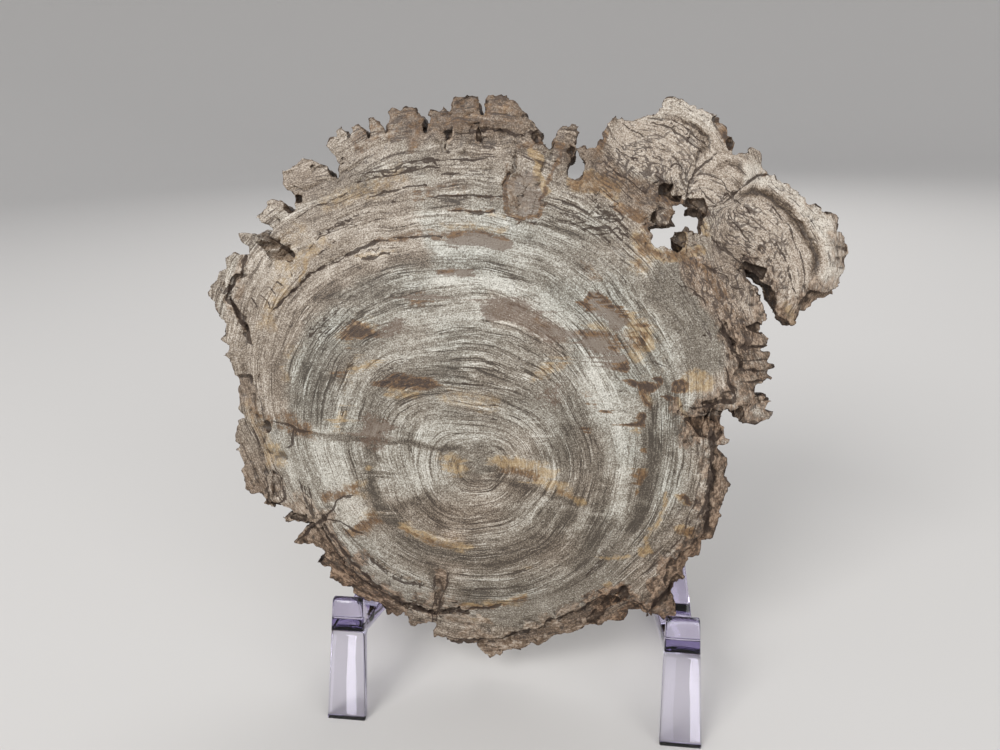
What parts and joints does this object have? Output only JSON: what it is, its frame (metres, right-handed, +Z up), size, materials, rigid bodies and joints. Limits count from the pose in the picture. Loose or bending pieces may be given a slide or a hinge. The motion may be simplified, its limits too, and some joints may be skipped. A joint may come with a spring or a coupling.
{
  "type": "petrified wood slice",
  "caption": "Sawn slice of petrified wood with growth rings, rough bark rim and ragged lobe, leaning back on clear moulded stand brackets.",
  "frame": {"origin": "on the floor, under the middle of the whole object's box", "axes": "+X to the right along the slice's width, +Y to the back, +Z up"},
  "size_m": [0.2715, 0.1098, 0.2491],
  "materials": {
    "sawn_petrified_wood": "silicified wood, sawn and rubbed to a satin face, with rough brown bark at the rim",
    "clear_moulded_plastic": "clear injection-moulded plastic with a faint violet tint, glossy"
  },
  "bodies": {
    "root": {"petrified_wood_slice": "sawn_petrified_wood", "stand_bracket_left": "clear_moulded_plastic", "stand_bracket_right": "clear_moulded_plastic"}
  },
  "joints": []
}
